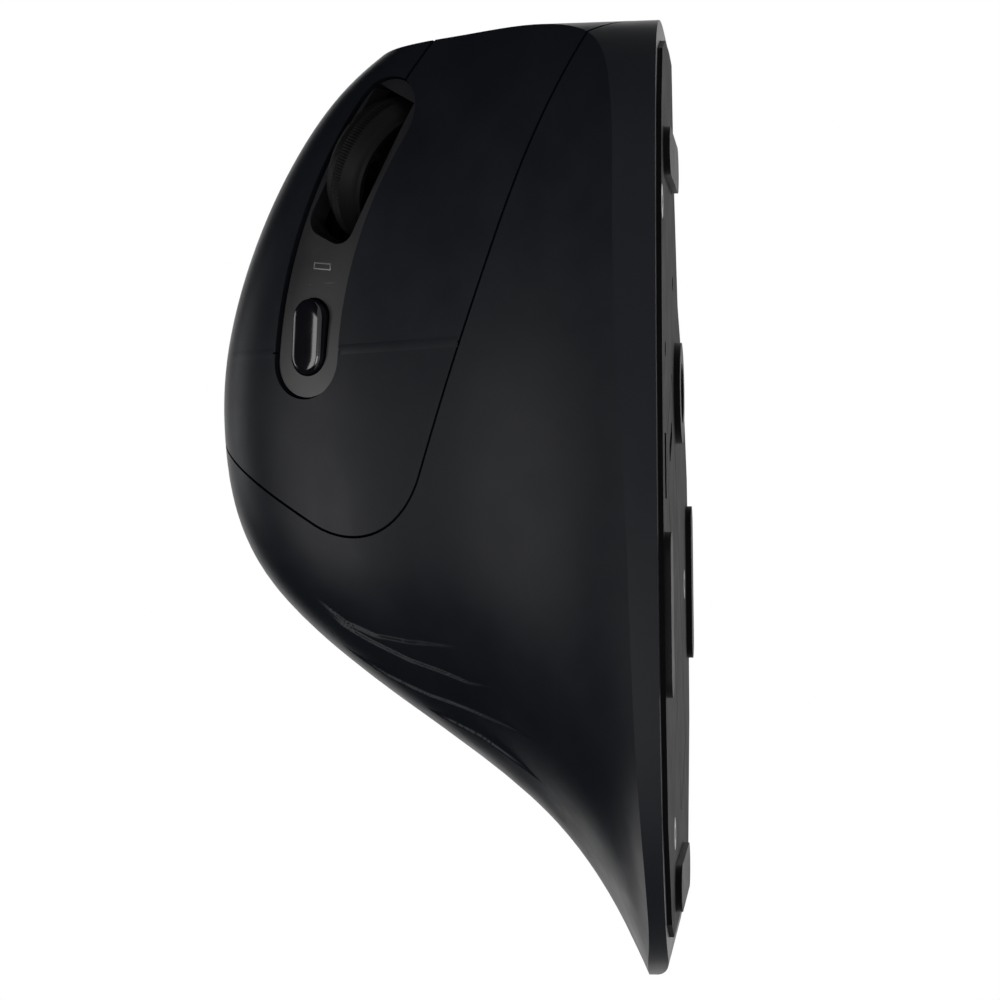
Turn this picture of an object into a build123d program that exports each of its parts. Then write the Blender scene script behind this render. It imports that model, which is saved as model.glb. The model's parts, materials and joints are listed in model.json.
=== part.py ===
from build123d import *
from math import atan2, cos, degrees, hypot, radians, sin
import os

os.makedirs("parts", exist_ok=True)

# Overall size: X points to the finger side, Y to the front, Z up; the origin is under the middle of the body
LENGTH = 122.0
WIDTH = 74.0
HEIGHT = 64.0
HALF_LENGTH = LENGTH / 2
HALF_WIDTH = WIDTH / 2
OVERRUN = 20.0
FIT = 0.1

# Moulded housing
WALL = 2.4
FOOT_PROUD = 0.8
RIM_LIFT = 0.6
RIM_BOTTOM = FOOT_PROUD + RIM_LIFT
END_CLEARANCE = 0.8
NOSE_SWEEP = 9.3
TAIL_SWEEP = 4.5
SEAM_GAP = 0.35
CREST_GAP = 0.7
COVER_CORNER = 13.0

# Main buttons: hairline at the flexing root, slit between the two, plungers over the switches
BUTTON_ROOT = 20.0
ROOT_GAP = 0.2
SLIT_GAP = 0.5
BUTTON_GAP = 0.3
PLUNGER_DIAMETER = 4.0
POST_DIAMETER = 4.0

# Glossy control strip beside the crest, on its own curved centre line
STRIP_WIDTH = 10.0
STRIP_GAP = 0.3
STRIP_RECESS = 0.6
PIN_DIAMETER = 1.6
PIN_MARGIN = 0.3

# Scroll wheel with its tyre, hub and axle
WHEEL_DIAMETER = 22.0
WHEEL_WIDTH = 6.4
WHEEL_PROUD = 3.4
TYRE_THICKNESS = 2.2
TYRE_SHOULDER = 1.8
TYRE_GROOVES = 40
GROOVE_WIDTH = 0.7
GROOVE_DEPTH = 0.35
GROOVE_LENGTH = 3.0
HUB_WIDTH = 5.0
HUB_RIM = 1.2
HUB_WEB = 1.6
HUB_BOSS = 5.0
HUB_HOLES = 5
HUB_HOLE_DIAMETER = 3.0
AXLE_DIAMETER = 2.4
WHEEL_SLOT_LENGTH = 20.8
WHEEL_SLOT_WIDTH = 7.8
WHEEL_SLOT_CORNER = 2.4

# Forked cradle that lets the wheel click, and the encoder on its side
CRADLE_WALL = 1.6
CRADLE_HEIGHT = 5.0
CRADLE_NOSE = 3.5
CRADLE_GAP = 0.2
WHEEL_CLEARANCE = 1.0
CHEEK_GAP = 0.5
CRADLE_TRAVEL = 0.5
TONGUE_LENGTH = 5.0
TONGUE_WIDTH = 4.0
TONGUE_THICKNESS = 1.5
ENCODER_LENGTH = 6.0
ENCODER_WIDTH = 3.5
ENCODER_HEIGHT = 6.5
RUNNING_FIT = 0.05

# Small round-ended button and light window on the strip
DPI_LENGTH = 10.0
DPI_WIDTH = 5.3
DPI_PROUD = 0.5
DPI_GAP = 0.25
DPI_FLANGE = 0.8
DPI_ROUND = 0.4
DPI_TRAVEL = 0.4
LIGHT_LENGTH = 3.0
LIGHT_WIDTH = 1.2
LIGHT_SLANT = 0.8

# Thumb buttons on the left shoulder
THUMB_LENGTH = 16.0
THUMB_HEIGHT = 6.4
THUMB_SPACING = 1.2
THUMB_PROUD = 1.2
THUMB_GAP = 0.3
THUMB_LEAN = -3.0
THUMB_FLANGE = 1.0
THUMB_LIP = 0.5
THUMB_TRAVEL = 0.45

# Boards, switches and the leaning inner frame
BOARD_THICKNESS = 1.6
FRAME_THICKNESS = 2.0
FRAME_DEPTH = 14.6
LEG_WIDTH = 6.0
SWITCH_LENGTH = 12.8
SWITCH_WIDTH = 5.8
SWITCH_HEIGHT = 5.0
SWITCH_SETBACK = 10.0
TACT_SIDE = 4.5
TACT_HEIGHT = 3.0
KEY_HEIGHT = 0.5
KEY_DIAMETER = 2.4
KEY_GAP = 0.1
SIDE_BOARD_PLACE = 9.0
SIDE_BOARD_HEIGHT = 8.0
SIDE_BOARD_LENGTH = 31.0
UPRIGHT_THICKNESS = 2.0
UPRIGHT_FOOT = 10.0
UPRIGHT_FOOT_DROP = 4.5
UPRIGHT_LIFT = 1.5

# Base plate, sensor and main board
BASE_THICKNESS = 2.0
BASE_TOP = FOOT_PROUD + BASE_THICKNESS
MAIN_BOARD_BOTTOM = 7.0
STANDOFF_DIAMETER = 4.0
SENSOR_DIAMETER = 13.5
SENSOR_BORE = 8.0
SENSOR_APERTURE = 5.6
LENS_LENGTH = 13.0
LENS_WIDTH = 11.0
LENS_THICKNESS = 1.2
SENSOR_LENGTH = 11.0
SENSOR_WIDTH = 9.0
SMALL_ROUND = 1.0

# Power switch
POWER_SLOT_LENGTH = 8.0
POWER_SLOT_WIDTH = 3.6
POWER_TRAVEL = 3.0
POWER_GAP = 0.15
POWER_RECESS = 0.2
POWER_NECK = 1.4
POWER_NECK_HEIGHT = 1.2
POWER_BODY_LENGTH = 10.0
POWER_BODY_WIDTH = 4.6
POWER_BODY_LIFT = 0.7

# Battery, its bay and the door
BATTERY_DIAMETER = 14.5
BATTERY_LENGTH = 50.5
BATTERY_NUB_DIAMETER = 5.5
BATTERY_NUB = 1.0
BATTERY_TURN = -30.0
BAY_SLACK = 0.4
BAY_WALL = 1.4
BAY_LIFT = 0.5
CONTACT_ROOM = 2.0
CONTACT_THICKNESS = 0.4
CONTACT_WIDTH = 9.0
DOOR_THICKNESS = 1.4
DOOR_GAP = 0.3
DOOR_LEDGE = 1.2
GRIP_WIDTH = 8.0
GRIP_HEIGHT = 2.4
GRIP_DEPTH = 0.6

# Screws and feet
SCREW_DIAMETER = 2.0
SCREW_HEAD = 4.2
SCREW_HEAD_HEIGHT = 1.2
SCREW_LENGTH = 6.0
SCREW_RECESS = 1.8
SCREW_RECESS_DEPTH = 0.6
BOSS_DIAMETER = 5.6
BOSS_HEIGHT = 12.0
FOOT_LENGTHS = (24.0, 26.0, 22.0, 20.0)
FOOT_WIDTH = 6.0

# Places in shares of the half width and half length
BOSS_SHARES = ((0.785, 0.59), (-0.31, 0.31), (0.38, -0.70), (-0.55, -0.20))
STANDOFF_SHARES = ((0.22, 0.74), (0.14, 0.46), (0.70, 0.30))
SENSOR_SHARES = (-0.055, 0.23)
POWER_SHARES = (0.76, 0.065)
BATTERY_SHARES = (0.08, -0.213)
FOOT_SHARES = ((0.36, 0.705), (0.05, -0.82), (-0.79, -0.20), (0.84, -0.23))
FOOT_TURNS = (0.0, 0.0, 90.0, 90.0)
MAIN_BOARD_SHARES = (
    (-0.22, 0.10), (0.87, -0.05), (0.87, 0.40), (0.70, 0.49), (0.65, 0.80), (0.06, 0.80), (0.06, 0.40),
    (-0.22, 0.36),
)

# Places on the finger plane in shares of the half length and height, and along the strip's centre line
WHEEL_SHARE = 0.78
LIGHT_SHARE = 0.37
DPI_SHARE = 0.09
PIN_SHARE = 0.22
SLIT_LINE_SHARES = (0.0, 0.25, 0.5, 0.75, 1.0)
RIGHT_SWITCH_SHARES = (0.62, 0.50)
POST_SHARES = ((0.03, 0.60), (0.08, 0.75))
LEG_SHARES = (0.345, 0.74)
LEG_TOP_SHARE = 0.45
FRAME_SHARES = (
    (-0.03, 0.50), (0.20, 0.50), (0.26, 0.375), (0.82, 0.375), (0.87, 0.60), (0.80, 0.97), (0.54, 0.97),
    (0.54, 0.84), (-0.03, 0.84),
)
BOARD_SHARES = (
    (0.16, 0.52), (0.24, 0.52), (0.28, 0.42), (0.80, 0.42), (0.83, 0.60), (0.78, 0.955), (0.55, 0.955),
    (0.55, 0.85), (0.16, 0.85),
)
SIDE_BOARD_SHARES = (0.22, 0.765)
THUMB_PLACE_SHARES = (0.10, 0.755)

# Footprint of the shell, clockwise from the middle of the front, in shares of the half width and half length
FOOTPRINT_SHARES = (
    (0.20, 0.99), (0.48, 0.985), (0.70, 0.94), (0.84, 0.80), (0.92, 0.58), (0.975, 0.28), (1.0, -0.04),
    (0.985, -0.36), (0.91, -0.66), (0.71, -0.89), (0.34, -1.0), (-0.22, -0.99), (-0.70, -0.85),
    (-0.94, -0.54), (-1.0, -0.18), (-0.94, 0.06), (-0.74, 0.24), (-0.58, 0.44), (-0.54, 0.70), (-0.36, 0.90),
    (-0.10, 0.975),
)

# Cross-sections from the tail to the nose: place along the half length, crest and knee in shares of the
# height, ridge and finger edge in shares of the half width, bulge and flange of the thumb side in the same
# shares from the ridge, and the share of the low tail profile
STATION_SHARES = (
    (-1.10, 0.020, 0.012, -0.02, 0.80, 0.00, 0.70, 1.00),
    (-0.90, 0.130, 0.036, -0.05, 0.86, 0.00, 0.75, 0.95),
    (-0.67, 0.300, 0.053, -0.10, 0.94, 0.04, 0.80, 0.72),
    (-0.43, 0.615, 0.069, -0.16, 0.98, 0.14, 0.82, 0.32),
    (-0.16, 0.905, 0.077, -0.21, 1.00, 0.21, 0.79, 0.06),
    (0.13, 0.995, 0.083, -0.24, 1.00, 0.24, 0.54, 0.00),
    (0.43, 0.970, 0.084, -0.24, 0.98, 0.23, 0.06, 0.00),
    (0.69, 0.872, 0.066, -0.20, 0.95, 0.20, -0.06, 0.00),
    (0.89, 0.740, 0.044, -0.14, 0.90, 0.18, -0.06, 0.00),
    (1.07, 0.500, 0.030, -0.06, 0.84, 0.15, -0.06, 0.00),
)

# Finger side from the crest outwards: share of the way out, share of the height above the knee
FINGER_SHARES = (
    (0.0, 1.0), (0.17, 0.955), (0.40, 0.68), (0.66, 0.37), (0.88, 0.11), (1.0, 0.0), (1.35, -0.18),
)
FINGER_TAIL_SHARES = (
    (0.0, 1.0), (0.2, 0.97), (0.45, 0.76), (0.70, 0.42), (0.88, 0.13), (1.0, 0.0), (1.35, -0.25),
)

# Thumb side from the crest down: share of the bulge, share of the flange, share of the height above the knee
THUMB_SHARES = (
    (0.62, 0.00, 0.955), (1.00, 0.00, 0.84), (1.00, 0.05, 0.62), (0.48, 0.12, 0.36), (0.12, 0.34, 0.15),
    (0.00, 0.72, 0.04), (0.00, 1.00, 0.00), (0.00, 1.45, -0.05),
)
THUMB_TAIL_SHARES = (
    (0.62, 0.20, 0.97), (1.00, 0.40, 0.85), (1.00, 0.55, 0.66), (0.48, 0.67, 0.45), (0.12, 0.79, 0.24),
    (0.00, 0.90, 0.09), (0.00, 1.00, 0.00), (0.00, 1.40, -0.20),
)


def blend_shares(first, second, share):
    return [tuple(a + share * (b - a) for a, b in zip(one, other)) for one, other in zip(first, second)]


def section_points(station):
    _, crest, knee, ridge, edge, bulge, flange, tail = station
    low = HEIGHT * knee
    rise = HEIGHT * crest - low
    start = HALF_WIDTH * ridge
    reach = HALF_WIDTH * edge - start
    finger = blend_shares(FINGER_SHARES, FINGER_TAIL_SHARES, tail)
    thumb = blend_shares(THUMB_SHARES, THUMB_TAIL_SHARES, tail)
    points = [(start + out * reach, low + up * rise) for out, up in reversed(finger)]
    points += [(start - HALF_WIDTH * (b * bulge + f * flange), low + up * rise) for b, f, up in thumb]
    return points


SECTIONS = [section_points(station) for station in STATION_SHARES]
SECTION_PLACES = [HALF_LENGTH * station[0] for station in STATION_SHARES]


def chord_shares(points):
    lengths = [0.0]
    for (x0, z0), (x1, z1) in zip(points, points[1:]):
        lengths.append(lengths[-1] + hypot(x1 - x0, z1 - z0))
    return [length / lengths[-1] for length in lengths]


SECTION_SHARES = chord_shares(SECTIONS[len(SECTIONS) // 2])


def inset_section(index, inset):
    """Section points moved into the body by the inset, measured square to the skin."""
    before = max(index - 1, 0)
    after = min(index + 1, len(SECTIONS) - 1)
    run = SECTION_PLACES[after] - SECTION_PLACES[before]
    row = SECTIONS[index]
    moved = []
    for j, (x, z) in enumerate(row):
        x0, z0 = row[max(j - 1, 0)]
        x1, z1 = row[min(j + 1, len(row) - 1)]
        (xa, za), (xb, zb) = SECTIONS[before][j], SECTIONS[after][j]
        along = Vector(xb - xa, run, zb - za)
        normal = Vector(x1 - x0, 0, z1 - z0).cross(along).normalized()
        flat = Vector(normal.X, 0, normal.Z)
        shift = inset / flat.length
        side = flat.normalized()
        moved.append((x + side.X * shift, z + side.Z * shift))
    return moved


def inset_footprint(inset):
    points = [(HALF_WIDTH * a, HALF_LENGTH * b) for a, b in FOOTPRINT_SHARES]
    moved = []
    for i, (x, y) in enumerate(points):
        x0, y0 = points[i - 1]
        x1, y1 = points[(i + 1) % len(points)]
        run = hypot(x1 - x0, y1 - y0)
        moved.append((x + inset * (y1 - y0) / run, y - inset * (x1 - x0) / run))
    return moved


def side_prism(bottom, inset):
    """Block with its underside at a level and swept up at the tail and the nose."""
    with BuildPart() as block:
        with BuildSketch(Plane.YZ) as profile:
            with Locations((0, bottom)):
                Rectangle(LENGTH + 2 * (END_CLEARANCE - inset), HEIGHT, align=(Align.CENTER, Align.MIN))
            corners = profile.vertices().group_by(Axis.Y)[0].sort_by(Axis.X)
            fillet(corners[0], TAIL_SWEEP - inset)
            fillet(corners[-1], NOSE_SWEEP - inset)
        extrude(amount=WIDTH, both=True)
    return block.part


def skin_form(inset):
    """The outer form of the mouse, drawn in by the inset."""
    with BuildPart() as hull:
        for index, place in enumerate(SECTION_PLACES):
            points = inset_section(index, inset)
            with BuildSketch(Plane.XZ.offset(-place)):
                with BuildLine():
                    places = [Vector(*point) for point in points]
                    top = add(Edge.make_spline(places, parameters=SECTION_SHARES)).edge()
                    Polyline(top @ 1, (points[-1][0], -OVERRUN), (points[0][0], -OVERRUN), top @ 0)
                make_face()
        loft()
    with BuildPart() as form:
        with BuildSketch(Plane.XY.offset(RIM_BOTTOM)):
            with BuildLine():
                Spline(*inset_footprint(inset), periodic=True)
            make_face()
        extrude(amount=HEIGHT)
        add(side_prism(RIM_BOTTOM, 0), mode=Mode.INTERSECT)
        add(hull.part, mode=Mode.INTERSECT)
    return form.part


CORE_STATIONS = range(1, len(SECTIONS))
CORE_POINTS = (0, 2, 3, 4, 5, 6, 7, 8, 9, 10, 11, 12, 14)


def cavity_form(inset):
    """Flat-sided core inside the skin, which leaves the moulded wall."""
    with BuildPart() as hull:
        for index in CORE_STATIONS:
            row = inset_section(index, inset)
            points = [row[j] for j in CORE_POINTS]
            with BuildSketch(Plane.XZ.offset(-SECTION_PLACES[index])):
                with BuildLine():
                    Polyline(*points, (points[-1][0], -OVERRUN), (points[0][0], -OVERRUN), close=True)
                make_face()
        loft(ruled=True)
    with BuildPart() as core:
        with BuildSketch():
            with BuildLine():
                Polyline(*inset_footprint(inset), close=True)
            make_face()
        extrude(amount=HEIGHT)
        add(hull.part, mode=Mode.INTERSECT)
    return core.part


# Finger plane along the finger face, with its second direction up the slope; crest plane square to the crest
FACE_LEAN = 56.8
FACE_FOOT_SHARES = (0.92, 0.094)
FACE_DEPTH = 24.0
STRIP_DEPTH = 12.0
CREST_LEAN = 45.0
face_plane = Plane(
    origin=(HALF_WIDTH * FACE_FOOT_SHARES[0], 0, HEIGHT * FACE_FOOT_SHARES[1]),
    x_dir=(0, 1, 0),
    z_dir=(sin(radians(FACE_LEAN)), 0, cos(radians(FACE_LEAN))),
)
crest_plane = Plane(
    origin=(0, 0, 0),
    x_dir=(0, 1, 0),
    z_dir=(sin(radians(CREST_LEAN)), 0, -cos(radians(CREST_LEAN))),
)

# Seam of the button cover on the finger plane from the front round the rear corner, its edge below the crest,
# the strip, and the slit in front of it
SEAM_SHARES = (
    (1.16, -0.03), (0.936, 0.130), (0.731, 0.233), (0.462, 0.336), (0.189, 0.442), (-0.160, 0.590),
    (0.20, 1.20),
)
CREST_SEAM_SHARES = (
    (-0.40, 0.43), (0.13, 0.450), (0.43, 0.437), (0.69, 0.390), (0.89, 0.325), (1.07, 0.205), (1.30, 0.03),
)
STRIP_SHARES = ((0.310, 0.800), (0.580, 0.758), (0.833, 0.645))
SLIT_END_SHARES = (1.16, 0.475)


def face_place(shares):
    return Vector(HALF_LENGTH * shares[0], HEIGHT * shares[1])


def shift_line(points, amount):
    """Open row of points moved to its left by an amount, with mitred corners."""
    sides = [Vector(a.Y - b.Y, b.X - a.X).normalized() for a, b in zip(points, points[1:])]
    sides = [sides[0], *sides, sides[-1]]
    return [
        point + (one + two) * (amount / (1 + one.dot(two)))
        for point, one, two in zip(points, sides, sides[1:])
    ]


def cover_region(gap, crest_gap):
    """Prism inside the seam of the button cover, grown by the gaps."""
    with BuildPart() as region:
        with BuildSketch(face_plane) as seam:
            with BuildLine():
                places = shift_line([face_place(shares) for shares in SEAM_SHARES], gap)
                lower = Spline(*places[:-1])
                Polyline(lower @ 1, places[-1], ((lower @ 0).X, places[-1].Y), lower @ 0)
            make_face()
            fillet(seam.vertices().sort_by(Axis.X)[0], COVER_CORNER + gap)
        extrude(amount=FACE_DEPTH, both=True)
        with BuildSketch(crest_plane):
            with BuildLine():
                edge = Spline(*[face_place(shares) - Vector(0, crest_gap) for shares in CREST_SEAM_SHARES])
                Polyline(edge @ 1, ((edge @ 1).X, WIDTH), ((edge @ 0).X, WIDTH), edge @ 0)
            make_face()
        extrude(amount=WIDTH, both=True, mode=Mode.INTERSECT)
    return region.part


def strip_prism(grow):
    """Prism of the control strip's outline, square to the finger plane."""
    with BuildPart() as prism:
        with BuildSketch(face_plane):
            SlotArc(CENTRE_LINE, STRIP_WIDTH + 2 * grow)
        extrude(amount=STRIP_DEPTH, both=True)
    return prism.part


def button_region(side):
    """Prism over one main button: side +1 above the strip, -1 below it."""
    places = [CENTRE_LINE @ share for share in SLIT_LINE_SHARES] + [face_place(SLIT_END_SHARES)]
    with BuildPart() as prism:
        with BuildSketch(face_plane):
            with BuildLine():
                edge = Spline(*[place + Vector(0, side * SLIT_GAP / 2) for place in places])
                far = side * 2 * HEIGHT
                Polyline(edge @ 1, ((edge @ 1).X, far), ((edge @ 0).X, far), edge @ 0)
            make_face()
            with Locations((BUTTON_ROOT + ROOT_GAP / 2, 0)):
                Rectangle(LENGTH, 5 * HEIGHT, align=(Align.MIN, Align.CENTER), mode=Mode.INTERSECT)
        extrude(amount=FACE_DEPTH, both=True)
    return prism.part


CENTRE_LINE = ThreePointArc(*[face_place(shares) for shares in STRIP_SHARES])

# The body as one form, its hollow, and the room left for what is mounted inside
outer = skin_form(0)
cavity = cavity_form(WALL)
room = cavity_form(WALL + FIT)


def skin_depth(place):
    """Height of the skin over the finger plane at a place on that plane."""
    start = face_plane.from_local_coords(Vector(place.X, place.Y, -STRIP_DEPTH))
    hits = outer.find_intersection_points(Axis(start, face_plane.z_dir))
    return max(face_plane.to_local_coords(point).Z for point, _ in hits)


def strip_turn(share):
    direction = CENTRE_LINE % share
    return degrees(atan2(direction.Y, direction.X))


# Places on the finger plane
wheel_place = CENTRE_LINE @ WHEEL_SHARE
wheel_turn = strip_turn(WHEEL_SHARE)
dpi_place = CENTRE_LINE @ DPI_SHARE
dpi_turn = strip_turn(DPI_SHARE)
light_place = CENTRE_LINE @ LIGHT_SHARE
right_switch_place = face_place(RIGHT_SWITCH_SHARES)
BOARD_TOP = BOARD_THICKNESS - FRAME_DEPTH
SWITCH_TOP = BOARD_TOP + SWITCH_HEIGHT + KEY_HEIGHT
TACT_TOP = BOARD_TOP + TACT_HEIGHT + KEY_HEIGHT

# Half widths of the cradle's fork, inside and outside its cheeks
cheek_inside = WHEEL_WIDTH / 2 + CHEEK_GAP
cheek_outside = cheek_inside + CRADLE_WALL

# Wheel frame: centre under the skin, first direction along the strip, axle square to it
WHEEL_RADIUS = WHEEL_DIAMETER / 2
wheel_depth = skin_depth(wheel_place) + WHEEL_PROUD - WHEEL_RADIUS
wheel_centre = face_plane.from_local_coords(Vector(wheel_place.X, wheel_place.Y, wheel_depth))
wheel_along = CENTRE_LINE % WHEEL_SHARE
wheel_across = Vector(-wheel_along.Y, wheel_along.X)
left_switch_reach = cheek_outside + 2 * CRADLE_GAP + SWITCH_WIDTH / 2
left_switch_place = wheel_place - wheel_along * SWITCH_SETBACK + wheel_across * left_switch_reach
wheel_run = (face_plane.from_local_coords(wheel_along) - face_plane.origin).normalized()
cradle_plane = Plane(origin=wheel_centre, x_dir=wheel_run, z_dir=face_plane.z_dir)
axle_plane = Plane(origin=wheel_centre, x_dir=wheel_run, z_dir=cradle_plane.y_dir)

# Button cover before it is parted: a fixed bridge with two buttons flexing from it
with BuildPart() as cover:
    add(outer)
    add(cavity, mode=Mode.SUBTRACT)
    add(cover_region(0, 0), mode=Mode.INTERSECT)
    add(strip_prism(STRIP_GAP), mode=Mode.SUBTRACT)


def main_button(side, place):
    """One main button with the plunger over its switch."""
    level = SWITCH_TOP + BUTTON_GAP
    with BuildPart() as button:
        add(cover.part)
        add(button_region(side), mode=Mode.INTERSECT)
        with BuildSketch(face_plane.offset(level)):
            with Locations(place):
                Circle(PLUNGER_DIAMETER / 2)
        extrude(amount=skin_depth(place) - WALL / 2 - level)
    return button


left_button = main_button(1, left_switch_place)
right_button = main_button(-1, right_switch_place)

# Bridge behind the buttons, on two posts that stand on the inner frame
with BuildPart() as button_cover:
    add(cover.part)
    with BuildSketch(face_plane):
        with Locations((BUTTON_ROOT - ROOT_GAP / 2, 0)):
            Rectangle(LENGTH, 5 * HEIGHT, align=(Align.MAX, Align.CENTER))
    extrude(amount=FACE_DEPTH, both=True, mode=Mode.INTERSECT)
    for shares in POST_SHARES:
        place = face_place(shares)
        with BuildSketch(face_plane.offset(-FRAME_DEPTH)):
            with Locations(place):
                Circle(POST_DIAMETER / 2)
        extrude(amount=FRAME_DEPTH + skin_depth(place) - WALL / 2)


# Thumb buttons: openings in the left wall, drawn along the side
def thumb_place(index):
    step = index * (THUMB_LENGTH + THUMB_SPACING)
    lean = radians(THUMB_LEAN)
    along, up = THUMB_PLACE_SHARES
    return HALF_LENGTH * along + step * cos(lean), HEIGHT * up + step * sin(lean)


def thumb_prism(index, grow):
    """Prism of one thumb button's outline through the left wall."""
    with BuildPart() as prism:
        with BuildSketch(Plane.YZ.offset(-SIDE_BOARD_PLACE)):
            with Locations(thumb_place(index)):
                SlotOverall(THUMB_LENGTH + 2 * grow, THUMB_HEIGHT + 2 * grow, rotation=THUMB_LEAN)
        extrude(amount=-HALF_WIDTH)
    return prism.part


def floor_places(shares):
    return [(HALF_WIDTH * across, HALF_LENGTH * along) for across, along in shares]


boss_places = floor_places(BOSS_SHARES)

# Screw bosses that stand on the base plate and end in the skin
with BuildPart() as bosses:
    with BuildSketch(Plane.XY.offset(BASE_TOP)):
        with Locations(*boss_places):
            Circle(BOSS_DIAMETER / 2)
    extrude(amount=BOSS_HEIGHT)
    add(outer, mode=Mode.INTERSECT)

# Main shell, open under the button cover and at the thumb buttons
with BuildPart() as main_shell:
    add(outer)
    add(cavity, mode=Mode.SUBTRACT)
    add(bosses.part)
    add(cover_region(SEAM_GAP, CREST_GAP), mode=Mode.SUBTRACT)
    for index in (0, 1):
        add(thumb_prism(index, THUMB_GAP), mode=Mode.SUBTRACT)
    with BuildSketch(Plane.XY.offset(BASE_TOP)):
        with Locations(*boss_places):
            Circle(SCREW_DIAMETER / 2)
    extrude(amount=SCREW_LENGTH - BASE_THICKNESS + SCREW_HEAD_HEIGHT, mode=Mode.SUBTRACT)

# Layer just inside the wall, from which the flanges of the small buttons are cut
with BuildPart() as flange_layer:
    add(cavity_form(WALL + KEY_GAP))
    add(cavity_form(WALL + KEY_GAP + THUMB_FLANGE), mode=Mode.SUBTRACT)

thumb_skin = skin_form(-THUMB_PROUD)


def thumb_button(index):
    """Button proud of the left wall, with an inner flange and a plunger to its switch."""
    reach = SIDE_BOARD_PLACE + TACT_HEIGHT + KEY_HEIGHT + THUMB_TRAVEL + KEY_GAP
    with BuildPart() as flange:
        add(flange_layer.part)
        add(thumb_prism(index, THUMB_LIP), mode=Mode.INTERSECT)
    with BuildPart() as button:
        add(thumb_skin)
        add(room, mode=Mode.SUBTRACT)
        add(thumb_prism(index, 0), mode=Mode.INTERSECT)
        add(flange.part)
        with BuildSketch(Plane.YZ.offset(-reach)):
            with Locations(thumb_place(index)):
                Circle(KEY_DIAMETER / 2)
        extrude(amount=-TACT_HEIGHT)
    return button


back_button = thumb_button(0)
forward_button = thumb_button(1)

# Control strip before its openings
with BuildPart() as strip_body:
    add(skin_form(STRIP_RECESS))
    add(cavity, mode=Mode.SUBTRACT)
    add(strip_prism(0), mode=Mode.INTERSECT)

with BuildPart() as light_prism:
    with BuildSketch(face_plane):
        with BuildLine():
            Polyline(
                light_place + Vector(-LIGHT_LENGTH / 2 - LIGHT_SLANT / 2, -LIGHT_WIDTH / 2),
                light_place + Vector(LIGHT_LENGTH / 2 - LIGHT_SLANT / 2, -LIGHT_WIDTH / 2),
                light_place + Vector(LIGHT_LENGTH / 2 + LIGHT_SLANT / 2, LIGHT_WIDTH / 2),
                light_place + Vector(-LIGHT_LENGTH / 2 + LIGHT_SLANT / 2, LIGHT_WIDTH / 2),
                close=True,
            )
        make_face()
    extrude(amount=STRIP_DEPTH, both=True)

with BuildPart() as light_window:
    add(strip_body.part)
    add(light_prism.part, mode=Mode.INTERSECT)

# Pins under the strip that stand on the button board
pin_reach = STRIP_WIDTH / 2 - PIN_DIAMETER / 2 - PIN_MARGIN
pin_along = CENTRE_LINE % PIN_SHARE
pin_across = Vector(-pin_along.Y, pin_along.X)
pin_places = [
    CENTRE_LINE @ PIN_SHARE + pin_across * pin_reach,
    CENTRE_LINE @ PIN_SHARE - pin_across * pin_reach,
    CENTRE_LINE @ 0 - (CENTRE_LINE % 0) * pin_reach,
]

with BuildPart() as control_strip:
    add(strip_body.part)
    add(light_prism.part, mode=Mode.SUBTRACT)
    with BuildSketch(face_plane):
        with Locations(wheel_place):
            RectangleRounded(WHEEL_SLOT_LENGTH, WHEEL_SLOT_WIDTH, WHEEL_SLOT_CORNER, rotation=wheel_turn)
        with Locations(dpi_place):
            SlotOverall(DPI_LENGTH + 2 * DPI_GAP, DPI_WIDTH + 2 * DPI_GAP, rotation=dpi_turn)
    extrude(amount=STRIP_DEPTH, both=True, mode=Mode.SUBTRACT)
    with BuildSketch(axle_plane):
        Circle(WHEEL_RADIUS + CHEEK_GAP)
    extrude(amount=WHEEL_SLOT_WIDTH / 2, both=True, mode=Mode.SUBTRACT)
    for place in pin_places:
        with BuildSketch(face_plane.offset(BOARD_TOP)):
            with Locations(place):
                Circle(PIN_DIAMETER / 2)
        extrude(amount=skin_depth(place) - WALL / 2 - STRIP_RECESS / 2 - BOARD_TOP)

# Round-ended button with its flange under the strip and a stem down to the switch
dpi_level = TACT_TOP + DPI_TRAVEL + KEY_GAP
dpi_top = skin_depth(dpi_place) - STRIP_RECESS + DPI_PROUD


def dpi_prism(grow):
    """Prism of the small button's outline, up to its flat top."""
    with BuildPart() as prism:
        with BuildSketch(face_plane.offset(dpi_top)):
            with Locations(dpi_place):
                SlotOverall(DPI_LENGTH + 2 * grow, DPI_WIDTH + 2 * grow, rotation=dpi_turn)
        extrude(amount=dpi_level - dpi_top)
    return prism.part


with BuildPart() as dpi_flange:
    add(flange_layer.part)
    add(dpi_prism(DPI_FLANGE), mode=Mode.INTERSECT)

with BuildPart() as dpi_button:
    add(dpi_prism(0))
    fillet(dpi_button.edges().group_by(Axis(face_plane.origin, face_plane.z_dir))[-1], DPI_ROUND)
    add(room, mode=Mode.SUBTRACT)
    add(dpi_flange.part)
    with BuildSketch(face_plane.offset(dpi_level)):
        with Locations(dpi_place):
            Circle(KEY_DIAMETER / 2)
    extrude(amount=dpi_top - dpi_level - WALL)

# Tyre with rounded shoulders and a grooved band
with BuildPart() as scroll_tyre:
    with BuildSketch(axle_plane):
        Circle(WHEEL_RADIUS)
        Circle(WHEEL_RADIUS - TYRE_THICKNESS, mode=Mode.SUBTRACT)
    extrude(amount=WHEEL_WIDTH / 2, both=True)
    fillet(scroll_tyre.edges().filter_by(GeomType.CIRCLE).sort_by(SortBy.RADIUS)[-2:], TYRE_SHOULDER)
    with BuildSketch(axle_plane):
        with PolarLocations(WHEEL_RADIUS, TYRE_GROOVES):
            Rectangle(2 * GROOVE_DEPTH, GROOVE_WIDTH)
    extrude(amount=GROOVE_LENGTH / 2, both=True, mode=Mode.SUBTRACT)

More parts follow.
